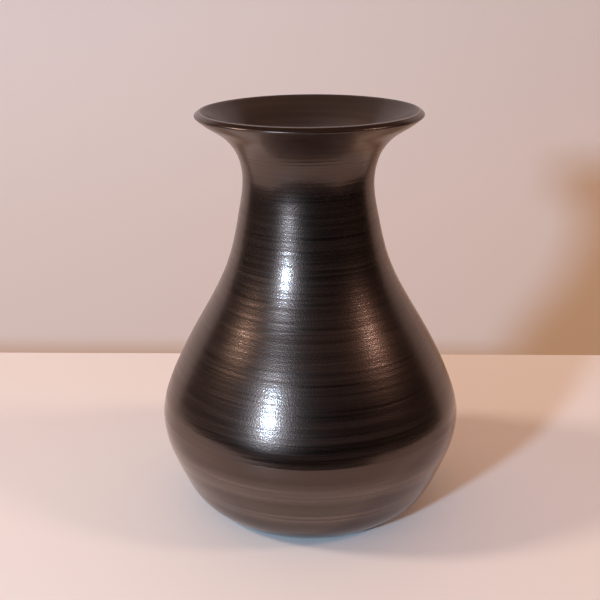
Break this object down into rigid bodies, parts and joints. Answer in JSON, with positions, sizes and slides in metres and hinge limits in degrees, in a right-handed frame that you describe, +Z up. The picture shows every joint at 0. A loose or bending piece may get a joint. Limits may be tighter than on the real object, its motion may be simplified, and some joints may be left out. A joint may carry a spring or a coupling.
{
  "type": "vase",
  "caption": "Round-bellied black clay vase with a flat foot, a long tapering neck and a flared mouth with a square-cut lip.",
  "frame": {"origin": "centre of the foot, on the surface that the vase stands on", "axes": "+Z up along the axis that the vase is round about; X and Y are alike"},
  "size_m": [0.1356, 0.1356, 0.1797],
  "materials": {
    "burnished_clay": "satin"
  },
  "bodies": {
    "root": {"base_bowl": "burnished_clay", "shoulder_wall": "burnished_clay", "neck_collar": "burnished_clay", "lip_band": "burnished_clay"}
  },
  "joints": []
}
